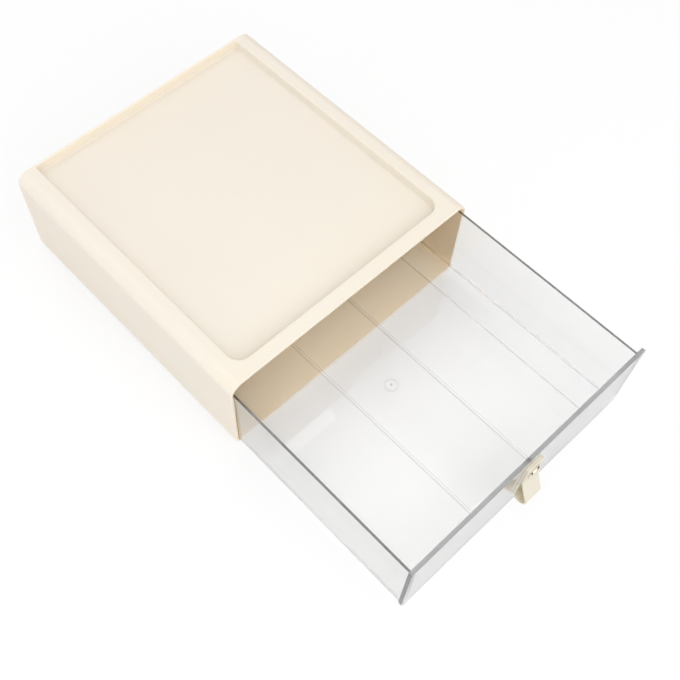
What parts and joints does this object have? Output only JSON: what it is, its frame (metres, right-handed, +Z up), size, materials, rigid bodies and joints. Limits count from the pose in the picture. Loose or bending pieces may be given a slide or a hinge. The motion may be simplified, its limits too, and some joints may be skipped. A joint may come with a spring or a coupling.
{
  "type": "stackable drawer box",
  "caption": "Open-fronted stackable case with a recessed top and low feet, holding a clear sliding drawer with a riveted strap loop pull.",
  "frame": {"origin": "centre of the case's footprint, on the surface that its feet stand on", "axes": "+Z up, -Y the way the drawer opens, +X to the right of someone facing the back"},
  "size_m": [0.26, 0.4754, 0.0955],
  "materials": {
    "case_plastic": "satin",
    "clear_plastic": "gloss",
    "strap": "satin",
    "rivet_metal": "polished"
  },
  "bodies": {
    "case": {"case_shell": "case_plastic"},
    "drawer": {"drawer": "clear_plastic", "rivet_post": "rivet_metal", "rivet_cap": "rivet_metal"},
    "pull": {"pull_strap": "strap"}
  },
  "joints": [
    {"name": "drawer_slide", "type": "slide", "parent": "case", "child": "drawer", "axis": [0, -1, 0], "range_m": [-0.1837, 0.041]},
    {"name": "pull_swivel", "type": "hinge", "parent": "drawer", "child": "pull", "pos_m": [0, -0.3249, 0.0674], "axis": [0, 1, 0], "range_deg": [-90, 90]}
  ]
}
